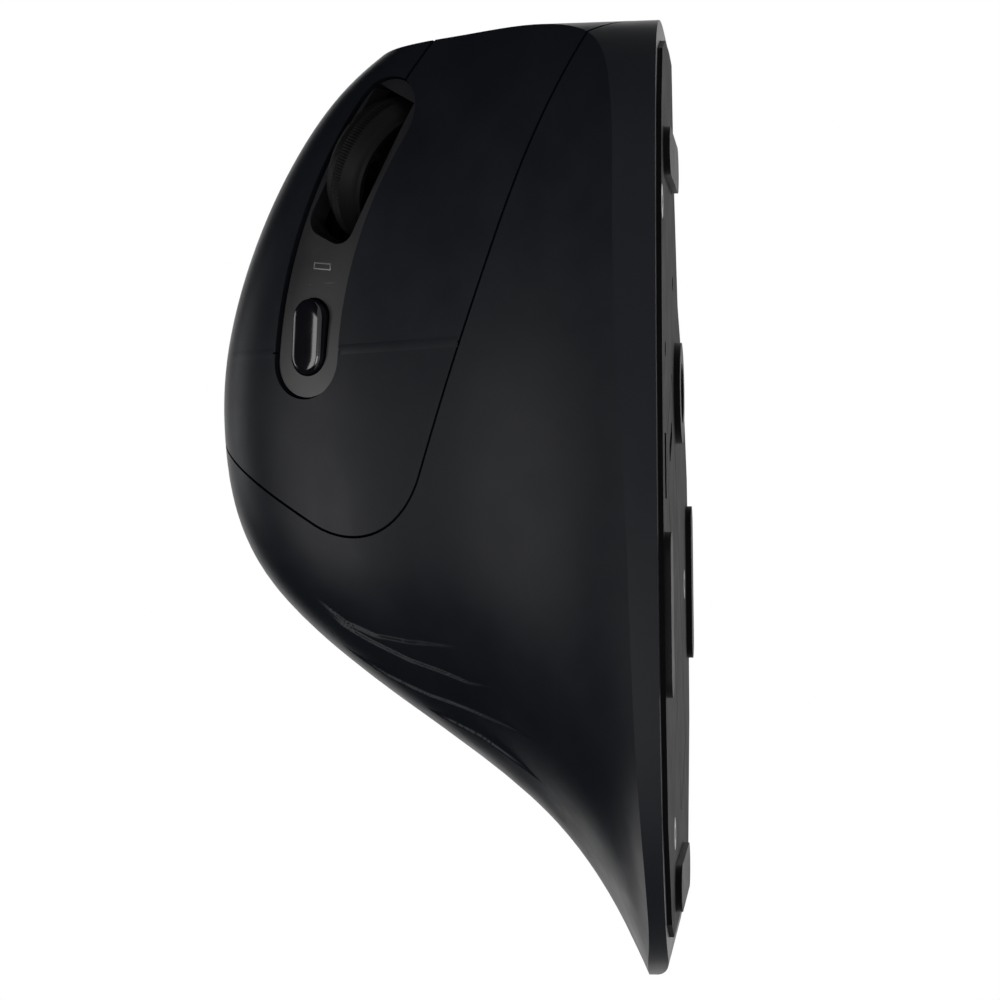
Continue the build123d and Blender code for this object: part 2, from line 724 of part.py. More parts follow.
# Hub: rim, web with holes, boss and bore
with BuildPart() as scroll_hub:
    with BuildSketch(axle_plane):
        Circle(WHEEL_RADIUS - TYRE_THICKNESS)
        Circle(WHEEL_RADIUS - TYRE_THICKNESS - HUB_RIM, mode=Mode.SUBTRACT)
        Circle(HUB_BOSS / 2)
    extrude(amount=HUB_WIDTH / 2, both=True)
    with BuildSketch(axle_plane):
        Circle(WHEEL_RADIUS - TYRE_THICKNESS - HUB_RIM / 2)
        with PolarLocations((WHEEL_RADIUS - TYRE_THICKNESS - HUB_RIM + HUB_BOSS / 2) / 2, HUB_HOLES):
            Circle(HUB_HOLE_DIAMETER / 2, mode=Mode.SUBTRACT)
    extrude(amount=HUB_WEB / 2, both=True)
    with BuildSketch(axle_plane):
        Circle(AXLE_DIAMETER / 2)
    extrude(amount=HUB_WIDTH, both=True, mode=Mode.SUBTRACT)

# Axle, from one cheek of the cradle into the encoder
with BuildPart() as scroll_axle:
    with BuildSketch(axle_plane.offset(cheek_outside)):
        Circle(AXLE_DIAMETER / 2)
    extrude(amount=-2 * cheek_outside - ENCODER_WIDTH / 2)

# Forked cradle: bridge behind the wheel, two cheeks, tongue over the wheel's click switch
fork_inside = WHEEL_RADIUS + WHEEL_CLEARANCE
fork_outside = fork_inside + CRADLE_WALL
tongue_level = TACT_TOP + CRADLE_TRAVEL + KEY_GAP - wheel_depth
with BuildPart() as wheel_cradle:
    with BuildSketch(cradle_plane.offset(-CRADLE_HEIGHT / 2)):
        with Locations((-fork_outside, 0)):
            Rectangle(fork_outside + CRADLE_NOSE, 2 * cheek_outside, align=(Align.MIN, Align.CENTER))
        with Locations((-fork_inside, 0)):
            Rectangle(LENGTH, 2 * cheek_inside, align=(Align.MIN, Align.CENTER), mode=Mode.SUBTRACT)
    extrude(amount=CRADLE_HEIGHT)
    with BuildSketch(cradle_plane.offset(tongue_level)):
        with Locations((-fork_outside - TONGUE_LENGTH, 0)):
            Rectangle(TONGUE_LENGTH + CRADLE_WALL, TONGUE_WIDTH, align=(Align.MIN, Align.CENTER))
    extrude(amount=TONGUE_THICKNESS)
    with BuildSketch(axle_plane):
        Circle(AXLE_DIAMETER / 2 + RUNNING_FIT)
    extrude(amount=2 * cheek_outside, both=True, mode=Mode.SUBTRACT)

with BuildPart() as encoder:
    with BuildSketch(axle_plane.offset(-cheek_outside)):
        RectangleRounded(ENCODER_LENGTH, ENCODER_HEIGHT, SMALL_ROUND)
        Circle(AXLE_DIAMETER / 2 + RUNNING_FIT, mode=Mode.SUBTRACT)
    extrude(amount=-ENCODER_WIDTH)

click_distance = fork_outside + TONGUE_LENGTH / 2
click_place = wheel_place - wheel_along * click_distance


# Switches
def snap_switch(place, turn):
    """Snap-action switch of a main button, with its key."""
    with BuildPart() as switch:
        with BuildSketch(face_plane.offset(BOARD_TOP)):
            with Locations(place):
                Rectangle(SWITCH_LENGTH, SWITCH_WIDTH, rotation=turn)
        extrude(amount=SWITCH_HEIGHT)
        with BuildSketch(face_plane.offset(BOARD_TOP + SWITCH_HEIGHT)):
            with Locations(place):
                Circle(KEY_DIAMETER / 2)
        extrude(amount=KEY_HEIGHT)
    return switch


def tact_switch(plane, place, turn, side):
    """Small push switch that stands on a board."""
    with BuildPart() as switch:
        with BuildSketch(plane):
            with Locations(place):
                Rectangle(TACT_SIDE, TACT_SIDE, rotation=turn)
        extrude(amount=side * TACT_HEIGHT)
        with BuildSketch(plane.offset(side * TACT_HEIGHT)):
            with Locations(place):
                Circle(KEY_DIAMETER / 2)
        extrude(amount=side * KEY_HEIGHT)
    return switch


left_switch = snap_switch(left_switch_place, wheel_turn)
right_switch = snap_switch(right_switch_place, 0)
board_plane = face_plane.offset(BOARD_TOP)
side_plane = Plane.YZ.offset(-SIDE_BOARD_PLACE)
wheel_switch = tact_switch(board_plane, click_place, wheel_turn, 1)
dpi_switch = tact_switch(board_plane, dpi_place, dpi_turn, 1)
back_switch = tact_switch(side_plane, thumb_place(0), THUMB_LEAN, -1)
forward_switch = tact_switch(side_plane, thumb_place(1), THUMB_LEAN, -1)


# Leaning frame and button board, both with a slot for the cradle and the encoder
def cradle_slot():
    with Locations(Location((wheel_place.X, wheel_place.Y), wheel_turn)):
        with Locations((-fork_outside - CRADLE_GAP, 0)):
            Rectangle(
                LENGTH,
                2 * (cheek_outside + CRADLE_GAP),
                align=(Align.MIN, Align.CENTER),
                mode=Mode.SUBTRACT,
            )
        with Locations((-ENCODER_LENGTH / 2 - CRADLE_GAP, 0)):
            Rectangle(
                ENCODER_LENGTH + 2 * CRADLE_GAP,
                cheek_outside + ENCODER_WIDTH + CRADLE_GAP,
                align=(Align.MIN, Align.MAX),
                mode=Mode.SUBTRACT,
            )


def leg_places():
    return [Vector(HALF_LENGTH * share, 0) for share in LEG_SHARES]


def frame_legs(grow):
    """Two legs that carry the leaning frame down the slope to the base plate."""
    with BuildPart() as legs:
        with BuildSketch(face_plane.offset(grow - FRAME_DEPTH)):
            with Locations(*leg_places()):
                Rectangle(LEG_WIDTH + 2 * grow, 2 * HEIGHT * LEG_TOP_SHARE)
        extrude(amount=-FRAME_THICKNESS - 2 * grow)
    return legs.part


upright_y, upright_z = HALF_LENGTH * SIDE_BOARD_SHARES[0], HEIGHT * SIDE_BOARD_SHARES[1]
with BuildPart() as inner_frame:
    with BuildSketch(face_plane.offset(-FRAME_DEPTH)):
        with BuildLine():
            Polyline(*[face_place(shares) for shares in FRAME_SHARES], close=True)
        make_face()
        cradle_slot()
    extrude(amount=-FRAME_THICKNESS)
    add(frame_legs(0))
    with BuildSketch(Plane.YZ.offset(-SIDE_BOARD_PLACE + BOARD_THICKNESS)):
        with Locations((upright_y - SIDE_BOARD_LENGTH / 2, upright_z + SIDE_BOARD_HEIGHT / 2)):
            Rectangle(SIDE_BOARD_LENGTH, SIDE_BOARD_HEIGHT - UPRIGHT_LIFT, align=(Align.MIN, Align.MAX))
            Rectangle(UPRIGHT_FOOT, SIDE_BOARD_HEIGHT + UPRIGHT_FOOT_DROP, align=(Align.MIN, Align.MAX))
    extrude(amount=UPRIGHT_THICKNESS)
    add(room, mode=Mode.INTERSECT)
    with BuildSketch(Plane.XY.offset(BASE_TOP)):
        Rectangle(2 * LENGTH, 2 * LENGTH)
    extrude(amount=HEIGHT, mode=Mode.INTERSECT)

with BuildPart() as button_board:
    with BuildSketch(face_plane.offset(-FRAME_DEPTH)):
        with BuildLine():
            Polyline(*[face_place(shares) for shares in BOARD_SHARES], close=True)
        make_face()
        cradle_slot()
    extrude(amount=BOARD_THICKNESS)
    add(room, mode=Mode.INTERSECT)

with BuildPart() as side_board:
    with BuildSketch(Plane.YZ.offset(-SIDE_BOARD_PLACE)):
        with Locations((upright_y, upright_z)):
            Rectangle(SIDE_BOARD_LENGTH, SIDE_BOARD_HEIGHT)
    extrude(amount=BOARD_THICKNESS)

# Battery bay frame: first direction along the battery, from the spring to the contact
bay_x, bay_y = floor_places([BATTERY_SHARES])[0]
battery_radius = BATTERY_DIAMETER / 2
bay_level = FOOT_PROUD + DOOR_THICKNESS + BAY_LIFT + battery_radius
bay_axis = Vector(0, 1, 0).rotate(Axis.Z, BATTERY_TURN)
bay_plane = Plane(origin=(bay_x, bay_y, bay_level), x_dir=bay_axis, z_dir=(0, 0, 1))
bay_end_plane = Plane(origin=bay_plane.origin, x_dir=bay_plane.y_dir, z_dir=bay_axis)
bay_side_plane = Plane(origin=bay_plane.origin, x_dir=bay_axis, z_dir=-bay_plane.y_dir)
bay_half_length = BATTERY_LENGTH / 2 + CONTACT_ROOM
bay_half_width = battery_radius + BAY_SLACK


def bay_block(grow, bottom):
    """Round-topped block round the battery, grown from its inner size, down to a level."""
    with BuildPart() as block:
        with BuildSketch(bay_end_plane):
            Circle(bay_half_width + grow)
            Rectangle(2 * (bay_half_width + grow), bay_level - bottom, align=(Align.CENTER, Align.MAX))
        extrude(amount=bay_half_length + grow, both=True)
    return block.part


def door_block(grow, top):
    """Plate of the battery door's outline, from below the base up to a level."""
    with BuildPart() as block:
        with BuildSketch(Plane(origin=(bay_x, bay_y, top), x_dir=bay_axis, z_dir=(0, 0, -1))):
            RectangleRounded(
                2 * (bay_half_length + DOOR_LEDGE + grow),
                2 * (bay_half_width + DOOR_LEDGE + grow),
                SMALL_ROUND + grow,
            )
        extrude(amount=top - FOOT_PROUD)
    return block.part


# Base plate with the battery bay, standoffs, and openings for sensor, switch, door and screws
sensor_x, sensor_y = floor_places([SENSOR_SHARES])[0]
power_x, power_y = floor_places([POWER_SHARES])[0]
standoff_places = floor_places(STANDOFF_SHARES)
with BuildPart() as base_plate:
    with BuildSketch():
        with BuildLine():
            Polyline(*inset_footprint(WALL + FIT), close=True)
        make_face()
    extrude(amount=HEIGHT)
    add(side_prism(FOOT_PROUD, 0), mode=Mode.INTERSECT)
    add(side_prism(BASE_TOP, BASE_THICKNESS), mode=Mode.SUBTRACT)
    add(bay_block(BAY_WALL, FOOT_PROUD))
    with BuildSketch(Plane.XY.offset(FOOT_PROUD)):
        with Locations(*standoff_places):
            Circle(STANDOFF_DIAMETER / 2)
    extrude(amount=MAIN_BOARD_BOTTOM - FOOT_PROUD)
    add(room, mode=Mode.INTERSECT)
    add(bay_block(0, 0), mode=Mode.SUBTRACT)
    add(door_block(DOOR_GAP, FOOT_PROUD + DOOR_THICKNESS), mode=Mode.SUBTRACT)
    with BuildSketch():
        with Locations((sensor_x, sensor_y)):
            Circle(SENSOR_BORE / 2)
        with Locations((power_x, power_y)):
            Rectangle(POWER_SLOT_WIDTH, POWER_SLOT_LENGTH)
        with Locations(*boss_places):
            Circle(SCREW_DIAMETER / 2 + FIT)
        with Locations(*standoff_places):
            Circle(SCREW_DIAMETER / 2)
    extrude(amount=MAIN_BOARD_BOTTOM, mode=Mode.SUBTRACT)
    with BuildSketch():
        with Locations(*boss_places):
            Circle(SCREW_HEAD / 2 + FIT)
    extrude(amount=FOOT_PROUD + SCREW_HEAD_HEIGHT, mode=Mode.SUBTRACT)

# Battery door with a finger grip near its free end
with BuildPart() as battery_door:
    add(door_block(0, FOOT_PROUD + DOOR_THICKNESS))
    with BuildSketch(Plane(origin=(bay_x, bay_y, 0), x_dir=bay_axis, z_dir=(0, 0, 1))):
        with Locations((bay_half_length - GRIP_WIDTH / 2, 0)):
            SlotOverall(GRIP_WIDTH, GRIP_HEIGHT, rotation=90)
    extrude(amount=FOOT_PROUD + GRIP_DEPTH, mode=Mode.SUBTRACT)

# Battery cell, leaf spring and contact plate
with BuildPart() as battery:
    with BuildSketch(bay_end_plane.offset(-BATTERY_LENGTH / 2)):
        Circle(battery_radius)
    extrude(amount=BATTERY_LENGTH - BATTERY_NUB)
    chamfer(battery.edges(), CONTACT_THICKNESS)
    with BuildSketch(bay_end_plane.offset(BATTERY_LENGTH / 2 - BATTERY_NUB)):
        Circle(BATTERY_NUB_DIAMETER / 2)
    extrude(amount=BATTERY_NUB)

contact_back = bay_half_length - CONTACT_THICKNESS
contact_front = BATTERY_LENGTH / 2
with BuildPart() as battery_contact:
    with BuildSketch(bay_end_plane.offset(contact_back)):
        Rectangle(CONTACT_WIDTH, CONTACT_WIDTH)
    extrude(amount=CONTACT_THICKNESS)
    with BuildSketch(bay_end_plane.offset(contact_front)):
        Circle(BATTERY_NUB_DIAMETER / 2)
    extrude(amount=contact_back - contact_front)

with BuildPart() as battery_spring:
    with BuildSketch(bay_side_plane):
        with BuildLine():
            Polyline(
                (-bay_half_length, CONTACT_WIDTH / 2),
                (-bay_half_length, -CONTACT_WIDTH / 2),
                (-contact_back, -CONTACT_WIDTH / 2),
                (-contact_front, 0),
                (-contact_front - CONTACT_THICKNESS, 0),
                (-contact_back, CONTACT_THICKNESS - CONTACT_WIDTH / 2),
                (-contact_back, CONTACT_WIDTH / 2),
                close=True,
            )
        make_face()
    extrude(amount=CONTACT_WIDTH / 2, both=True)

# Main board on its standoffs, cut round the battery bay and the frame legs
with BuildPart() as main_board:
    with BuildSketch(Plane.XY.offset(MAIN_BOARD_BOTTOM)):
        with BuildLine():
            Polyline(*floor_places(MAIN_BOARD_SHARES), close=True)
        make_face()
        with Locations(*standoff_places):
            Circle(SCREW_DIAMETER / 2, mode=Mode.SUBTRACT)
    extrude(amount=BOARD_THICKNESS)
    add(bay_block(BAY_WALL + FIT, FOOT_PROUD), mode=Mode.SUBTRACT)
    add(frame_legs(FIT), mode=Mode.SUBTRACT)
    add(room, mode=Mode.INTERSECT)


def screws(places, seat):
    """Screws with their heads standing on a level, one for each place; a drive recess in every head."""
    side = 1 if seat > BASE_TOP else -1
    with BuildPart() as group:
        with BuildSketch(Plane.XY.offset(seat)):
            with Locations(*places):
                Circle(SCREW_HEAD / 2)
        extrude(amount=side * SCREW_HEAD_HEIGHT)
        with BuildSketch(Plane.XY.offset(seat)):
            with Locations(*places):
                Circle(SCREW_DIAMETER / 2)
        extrude(amount=-side * (SCREW_LENGTH - SCREW_HEAD_HEIGHT))
        with BuildSketch(Plane.XY.offset(seat + side * SCREW_HEAD_HEIGHT)):
            with Locations(*places):
                RegularPolygon(SCREW_RECESS / 2, 6)
        extrude(amount=-side * SCREW_RECESS_DEPTH, mode=Mode.SUBTRACT)
    return group


base_screws = screws(boss_places, FOOT_PROUD + SCREW_HEAD_HEIGHT)
board_screws = screws(standoff_places, MAIN_BOARD_BOTTOM + BOARD_THICKNESS)

# Sensor under the main board, its lens, and the ring foot round the opening
with BuildPart() as sensor_ring:
    with BuildSketch():
        with Locations((sensor_x, sensor_y)):
            Circle(SENSOR_DIAMETER / 2)
            Circle(SENSOR_BORE / 2, mode=Mode.SUBTRACT)
    extrude(amount=FOOT_PROUD)

with BuildPart() as sensor_lens:
    with BuildSketch(Plane.XY.offset(BASE_TOP)):
        with Locations((sensor_x, sensor_y)):
            RectangleRounded(LENS_LENGTH, LENS_WIDTH, SMALL_ROUND)
    extrude(amount=LENS_THICKNESS)
    with BuildSketch(Plane.XY.offset(BASE_TOP)):
        with Locations((sensor_x, sensor_y)):
            Circle(SENSOR_BORE / 2 - FIT)
            Circle(SENSOR_APERTURE / 2, mode=Mode.SUBTRACT)
    extrude(amount=-LENS_THICKNESS)

with BuildPart() as sensor:
    with BuildSketch(Plane.XY.offset(BASE_TOP + LENS_THICKNESS)):
        with Locations((sensor_x, sensor_y)):
            RectangleRounded(SENSOR_LENGTH, SENSOR_WIDTH, SMALL_ROUND / 2)
    extrude(amount=MAIN_BOARD_BOTTOM - BASE_TOP - LENS_THICKNESS)

# Power switch under the main board, and the knob in the slot of the base plate
knob_length = POWER_SLOT_LENGTH - POWER_TRAVEL - 2 * POWER_GAP
knob_y = power_y - POWER_TRAVEL / 2
switch_bottom = BASE_TOP + POWER_BODY_LIFT
with BuildPart() as power_switch:
    with BuildSketch(Plane.XY.offset(switch_bottom)):
        with Locations((power_x, power_y)):
            Rectangle(POWER_BODY_WIDTH, POWER_BODY_LENGTH)
    extrude(amount=MAIN_BOARD_BOTTOM - switch_bottom)
    with BuildSketch(Plane.XY.offset(switch_bottom)):
        with Locations((power_x, power_y)):
            Rectangle(POWER_NECK + 2 * POWER_GAP, POWER_NECK + POWER_TRAVEL + 2 * POWER_GAP)
    extrude(amount=POWER_NECK_HEIGHT + POWER_GAP, mode=Mode.SUBTRACT)

with BuildPart() as power_knob:
    with BuildSketch(Plane.XY.offset(FOOT_PROUD + POWER_RECESS)):
        with Locations((power_x, knob_y)):
            Rectangle(POWER_SLOT_WIDTH - 2 * POWER_GAP, knob_length)
    extrude(amount=switch_bottom - POWER_GAP - FOOT_PROUD - POWER_RECESS)
    with BuildSketch(Plane.XY.offset(FOOT_PROUD + POWER_RECESS)):
        with Locations((power_x, knob_y)):
            with GridLocations(0, knob_length / 4, 1, 3):
                Rectangle(POWER_SLOT_WIDTH, GRIP_DEPTH)
    extrude(amount=GRIP_DEPTH, mode=Mode.SUBTRACT)
    with BuildSketch(Plane.XY.offset(switch_bottom - POWER_GAP)):
        with Locations((power_x, knob_y)):
            Rectangle(POWER_NECK, POWER_NECK)
    extrude(amount=POWER_NECK_HEIGHT)


def glide_foot(index):
    """Round-ended glide foot under the base plate."""
    with BuildPart() as foot:
        with BuildSketch():
            with Locations(floor_places(FOOT_SHARES)[index]):
                SlotOverall(FOOT_LENGTHS[index], FOOT_WIDTH, rotation=FOOT_TURNS[index])
        extrude(amount=FOOT_PROUD)
    return foot


front_foot = glide_foot(0)
rear_foot = glide_foot(1)
left_foot = glide_foot(2)
right_foot = glide_foot(3)

pieces = {
    "main_shell": main_shell,
    "button_cover": button_cover,
    "left_button": left_button,
    "right_button": right_button,
    "control_strip": control_strip,
    "light_window": light_window,
    "dpi_button": dpi_button,
    "scroll_tyre": scroll_tyre,
    "scroll_hub": scroll_hub,
    "scroll_axle": scroll_axle,
    "wheel_cradle": wheel_cradle,
    "encoder": encoder,
    "wheel_switch": wheel_switch,
    "left_switch": left_switch,
    "right_switch": right_switch,
    "dpi_switch": dpi_switch,
    "forward_button": forward_button,
    "back_button": back_button,
    "forward_switch": forward_switch,
    "back_switch": back_switch,
    "side_board": side_board,
    "button_board": button_board,
    "inner_frame": inner_frame,
    "main_board": main_board,
    "board_screws": board_screws,
    "sensor": sensor,
    "sensor_lens": sensor_lens,
    "sensor_ring": sensor_ring,
    "power_switch": power_switch,
    "power_knob": power_knob,
    "battery": battery,
    "battery_contact": battery_contact,
    "battery_spring": battery_spring,
    "battery_door": battery_door,
    "base_plate": base_plate,
    "base_screws": base_screws,
    "front_foot": front_foot,
    "rear_foot": rear_foot,
    "left_foot": left_foot,
    "right_foot": right_foot,
}
for name, piece in pieces.items():
    piece.part.label = name
    export_step(piece.part, f"parts/{name}.step")
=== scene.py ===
import json
from math import cos, exp, pi, radians, sin

import bmesh
import bpy
from mathutils import Matrix, Vector
from mathutils.bvhtree import BVHTree
from mathutils.geometry import barycentric_transform


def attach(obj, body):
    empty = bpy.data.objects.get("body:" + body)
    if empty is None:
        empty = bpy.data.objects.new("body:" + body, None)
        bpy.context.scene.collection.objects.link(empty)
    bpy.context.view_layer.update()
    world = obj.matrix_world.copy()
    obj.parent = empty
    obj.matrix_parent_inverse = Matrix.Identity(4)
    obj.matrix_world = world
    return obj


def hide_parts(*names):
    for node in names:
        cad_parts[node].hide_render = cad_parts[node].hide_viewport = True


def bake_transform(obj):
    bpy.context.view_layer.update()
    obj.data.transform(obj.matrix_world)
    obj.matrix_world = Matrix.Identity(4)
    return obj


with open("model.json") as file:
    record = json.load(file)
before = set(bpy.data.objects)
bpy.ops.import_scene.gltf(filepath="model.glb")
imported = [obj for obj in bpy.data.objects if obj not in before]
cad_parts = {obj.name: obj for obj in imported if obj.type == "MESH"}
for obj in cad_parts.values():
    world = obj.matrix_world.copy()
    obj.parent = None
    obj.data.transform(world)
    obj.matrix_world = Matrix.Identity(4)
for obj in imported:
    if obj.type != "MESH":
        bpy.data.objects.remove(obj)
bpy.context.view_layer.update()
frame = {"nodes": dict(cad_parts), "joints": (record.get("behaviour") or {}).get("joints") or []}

# Places and sizes are in millimetres and become metres through MM, except in the studio
MM = 0.001

# Finger plane of the CAD source: along the finger face, up its slope, and out of it
FACE_LEAN = radians(56.8)
FACE_ORIGIN = Vector((34.04, 0, 6.016)) * MM
ALONG = Vector((0, 1, 0))
UP_SLOPE = Vector((-cos(FACE_LEAN), 0, sin(FACE_LEAN)))
OUT = Vector((sin(FACE_LEAN), 0, cos(FACE_LEAN)))

# Scroll wheel: centre, axle and the way along the strip
wheel_spin = next(joint for joint in frame["joints"] if joint["name"] == "wheel_spin")
WHEEL_CENTRE = Vector(wheel_spin["pos_m"])
AXLE = Vector(wheel_spin["axis"])
WHEEL_RUN = AXLE.cross(OUT).normalized()

# Centre line of the control strip on the finger plane, an arc through three places
STRIP_PLACES = (Vector((18.91, 51.2)), Vector((35.38, 48.512)), Vector((50.813, 41.28)))
DPI_SHARE = 0.09
LIGHT_SHARE = 0.37
SMALL_SHARE = 0.01


def face_point(along, up, out=0.0):
    """Point of the row frame from a place on the finger plane and a height over it."""
    return FACE_ORIGIN + (ALONG * along + UP_SLOPE * up + OUT * out) * MM


def arc_centre(first, middle, last):
    """Centre of the circle through three places."""
    a, b = middle - first, last - first
    scale = 2 * (a.x * b.y - a.y * b.x)
    x = (b.y * a.length_squared - a.y * b.length_squared) / scale
    y = (a.x * b.length_squared - b.x * a.length_squared) / scale
    return first + Vector((x, y))


STRIP_CENTRE = arc_centre(*STRIP_PLACES)


def strip_place(share):
    """Place on the strip's centre line at a share of its length."""
    spokes = [place - STRIP_CENTRE for place in (STRIP_PLACES[0], STRIP_PLACES[2])]
    sweep = spokes[0].angle_signed(spokes[1])
    return STRIP_CENTRE + Matrix.Rotation(-sweep * share, 2) @ spokes[0]


def strip_run(share):
    """Direction of the strip's centre line at a share of its length."""
    return (strip_place(share + SMALL_SHARE) - strip_place(share - SMALL_SHARE)).normalized()


# Materials: the part of a noise's range over which colours drift, and the part for roughness
RAMP_ENDS = (0.35, 0.65)
SPREAD_ENDS = (0.3, 0.7)


class Shader:
    """A procedural material: a Principled shader with noise for its colour, roughness and grain."""

    def __init__(self, name, **constants):
        self.material = bpy.data.materials.new(name)
        self.material.use_nodes = True
        self.tree = self.material.node_tree
        self.shader = self.tree.nodes["Principled BSDF"]
        self.place = self.node("ShaderNodeTexCoord").outputs["Object"]
        for socket, value in constants.items():
            self.shader.inputs[socket.replace("_", " ")].default_value = value

    def node(self, kind):
        return self.tree.nodes.new(kind)

    def link(self, start, end):
        self.tree.links.new(start, end)

    def noise(self, size, detail=2.0, stretch=None):
        """Noise whose grain has a size in millimetres, drawn out along an axis by a stretch."""
        noise = self.node("ShaderNodeTexNoise")
        noise.inputs["Scale"].default_value = 1 / (size * MM)
        noise.inputs["Detail"].default_value = detail
        place = self.place
        if stretch:
            mapping = self.node("ShaderNodeMapping")
            mapping.inputs["Scale"].default_value = stretch
            self.link(place, mapping.inputs["Vector"])
            place = mapping.outputs["Vector"]
        self.link(place, noise.inputs["Vector"])
        return noise.outputs["Fac"]

    def colour(self, low, high, size, **options):
        """Base colour that drifts between two colours."""
        ramp = self.node("ShaderNodeValToRGB")
        for element, position, colour in zip(ramp.color_ramp.elements, RAMP_ENDS, (low, high)):
            element.position = position
            element.color = (*colour, 1)
        self.link(self.noise(size, **options), ramp.inputs["Fac"])
        self.link(ramp.outputs["Color"], self.shader.inputs["Base Color"])

    def roughness(self, low, high, size, **options):
        """Roughness that drifts between two values."""
        spread = self.node("ShaderNodeMapRange")
        spread.inputs["From Min"].default_value = SPREAD_ENDS[0]
        spread.inputs["From Max"].default_value = SPREAD_ENDS[1]
        spread.inputs["To Min"].default_value = low
        spread.inputs["To Max"].default_value = high
        self.link(self.noise(size, **options), spread.inputs["Value"])
        self.link(spread.outputs["Result"], self.shader.inputs["Roughness"])

    def grain(self, size, depth, **options):
        """Bump from noise, with its grain size and depth in millimetres."""
        bump = self.node("ShaderNodeBump")
        bump.inputs["Distance"].default_value = depth * MM
        bump.inputs["Strength"].default_value = 1.0
        self.link(self.noise(size, **options), bump.inputs["Height"])
        self.link(bump.outputs["Normal"], self.shader.inputs["Normal"])


# Moulded plastic: sizes of the drift in its colour and gloss, and how far its roughness drifts
PLASTIC_DRIFT = 14.0
PLASTIC_GLOSS_DRIFT = 6.0
PLASTIC_UNEVEN = 0.03

# Drawn metal: the same, and the size and depth of its fine lines
METAL_DRIFT = 2.0
METAL_GLOSS_DRIFT = 0.5
METAL_UNEVEN = 0.06
METAL_LINES = (0.3, 0.004)


def plastic(name, low, high, rough, grain, level=0.3):
    """Moulded plastic with a faint colour drift, uneven gloss and a fine grain of a size and a depth."""
    made = Shader(name, Specular_IOR_Level=level)
    made.colour(low, high, PLASTIC_DRIFT)
    made.roughness(rough - PLASTIC_UNEVEN, rough + PLASTIC_UNEVEN, PLASTIC_GLOSS_DRIFT)
    made.grain(*grain)
    return made.material


def metal(name, low, high, rough, stretch):
    """Drawn or turned metal with fine lines along one axis."""
    made = Shader(name, Metallic=1.0)
    made.colour(low, high, METAL_DRIFT, stretch=stretch)
    made.roughness(rough - METAL_UNEVEN, rough + METAL_UNEVEN, METAL_GLOSS_DRIFT, stretch=stretch)
    made.grain(*METAL_LINES, stretch=stretch)
    return made.material


def board_material():
    """Green solder mask over a glass weave."""
    made = Shader("circuit_board", Specular_IOR_Level=0.5)
    made.colour((0.004, 0.022, 0.010), (0.008, 0.045, 0.020), 1.6, detail=4.0)
    made.roughness(0.25, 0.38, 1.2)
    made.grain(0.5, 0.006, stretch=(1.0, 0.2, 1.0))
    return made.material


def lens_material():
    """Clear moulded lens."""
    made = Shader("sensor_lens", Transmission_Weight=0.9, IOR=1.49)
    made.colour((0.80, 0.82, 0.84), (0.88, 0.90, 0.92), 5.0)
    made.roughness(0.04, 0.10, 2.0)
    made.grain(1.0, 0.0006)
    return made.material


def cell_material():
    """Plain sleeve of a round cell, without any print."""
    made = Shader("battery_sleeve", Metallic=0.2)
    made.colour((0.045, 0.047, 0.052), (0.06, 0.062, 0.067), 9.0)
    made.roughness(0.28, 0.38, 3.0)
    made.grain(0.5, 0.002)
    return made.material


# Outer plastics
body = plastic(
    "matte_body", (0.0038, 0.0046, 0.0066), (0.0046, 0.0053, 0.0073),
    rough=0.37, grain=(0.22, 0.006), level=0.11,
)
strip = plastic(
    "strip_satin", (0.0058, 0.0058, 0.0071), (0.0075, 0.0075, 0.0088),
    rough=0.36, grain=(0.5, 0.001), level=0.36,
)
piano = plastic(
    "piano_black", (0.003, 0.003, 0.0045), (0.004, 0.004, 0.0055),
    rough=0.12, grain=(1.5, 0.0006), level=0.4,
)
lamp_window = plastic(
    "window_smoke", (0.05, 0.05, 0.055), (0.065, 0.065, 0.07),
    rough=0.32, grain=(0.4, 0.002), level=0.5,
)
window_line = plastic(
    "window_line", (0.068, 0.068, 0.071), (0.088, 0.088, 0.092),
    rough=0.4, grain=(0.3, 0.002), level=0.5,
)
rubber = plastic(
    "tyre_rubber", (0.0024, 0.0024, 0.0029), (0.0037, 0.0037, 0.0042),
    rough=0.55, grain=(0.15, 0.006), level=0.06,
)
base = plastic(
    "base_plastic", (0.007, 0.007, 0.008), (0.009, 0.009, 0.010),
    rough=0.55, grain=(0.35, 0.008), level=0.03,
)
glide = plastic(
    "glide_foot", (0.011, 0.011, 0.0122), (0.015, 0.015, 0.0163),
    rough=0.46, grain=(0.8, 0.003), level=0.06,
)
knob_plastic = plastic(
    "knob_plastic", (0.035, 0.035, 0.037), (0.045, 0.045, 0.047),
    rough=0.45, grain=(0.3, 0.004),
)

# Inner plastics, boards and metals
inner = plastic(
    "inner_plastic", (0.004, 0.004, 0.005), (0.0045, 0.0045, 0.005),
    rough=0.7, grain=(0.3, 0.01), level=0.04,
)
hub = plastic(
    "hub_plastic", (0.003, 0.003, 0.0035), (0.0045, 0.0045, 0.005),
    rough=0.6, grain=(0.4, 0.004), level=0.08,
)
case = plastic("switch_case", (0.010, 0.010, 0.011), (0.014, 0.014, 0.015), rough=0.55, grain=(0.3, 0.005))
chip = plastic("chip_resin", (0.008, 0.008, 0.009), (0.012, 0.012, 0.013), rough=0.45, grain=(0.2, 0.004))
steel = metal("spring_steel", (0.42, 0.42, 0.43), (0.55, 0.55, 0.56), rough=0.32, stretch=(1.0, 0.08, 1.0))
screw_steel = metal(
    "screw_steel", (0.10, 0.10, 0.11), (0.16, 0.16, 0.17),
    rough=0.35, stretch=(1.0, 1.0, 0.2),
)
board = board_material()
lens = lens_material()
cell = cell_material()

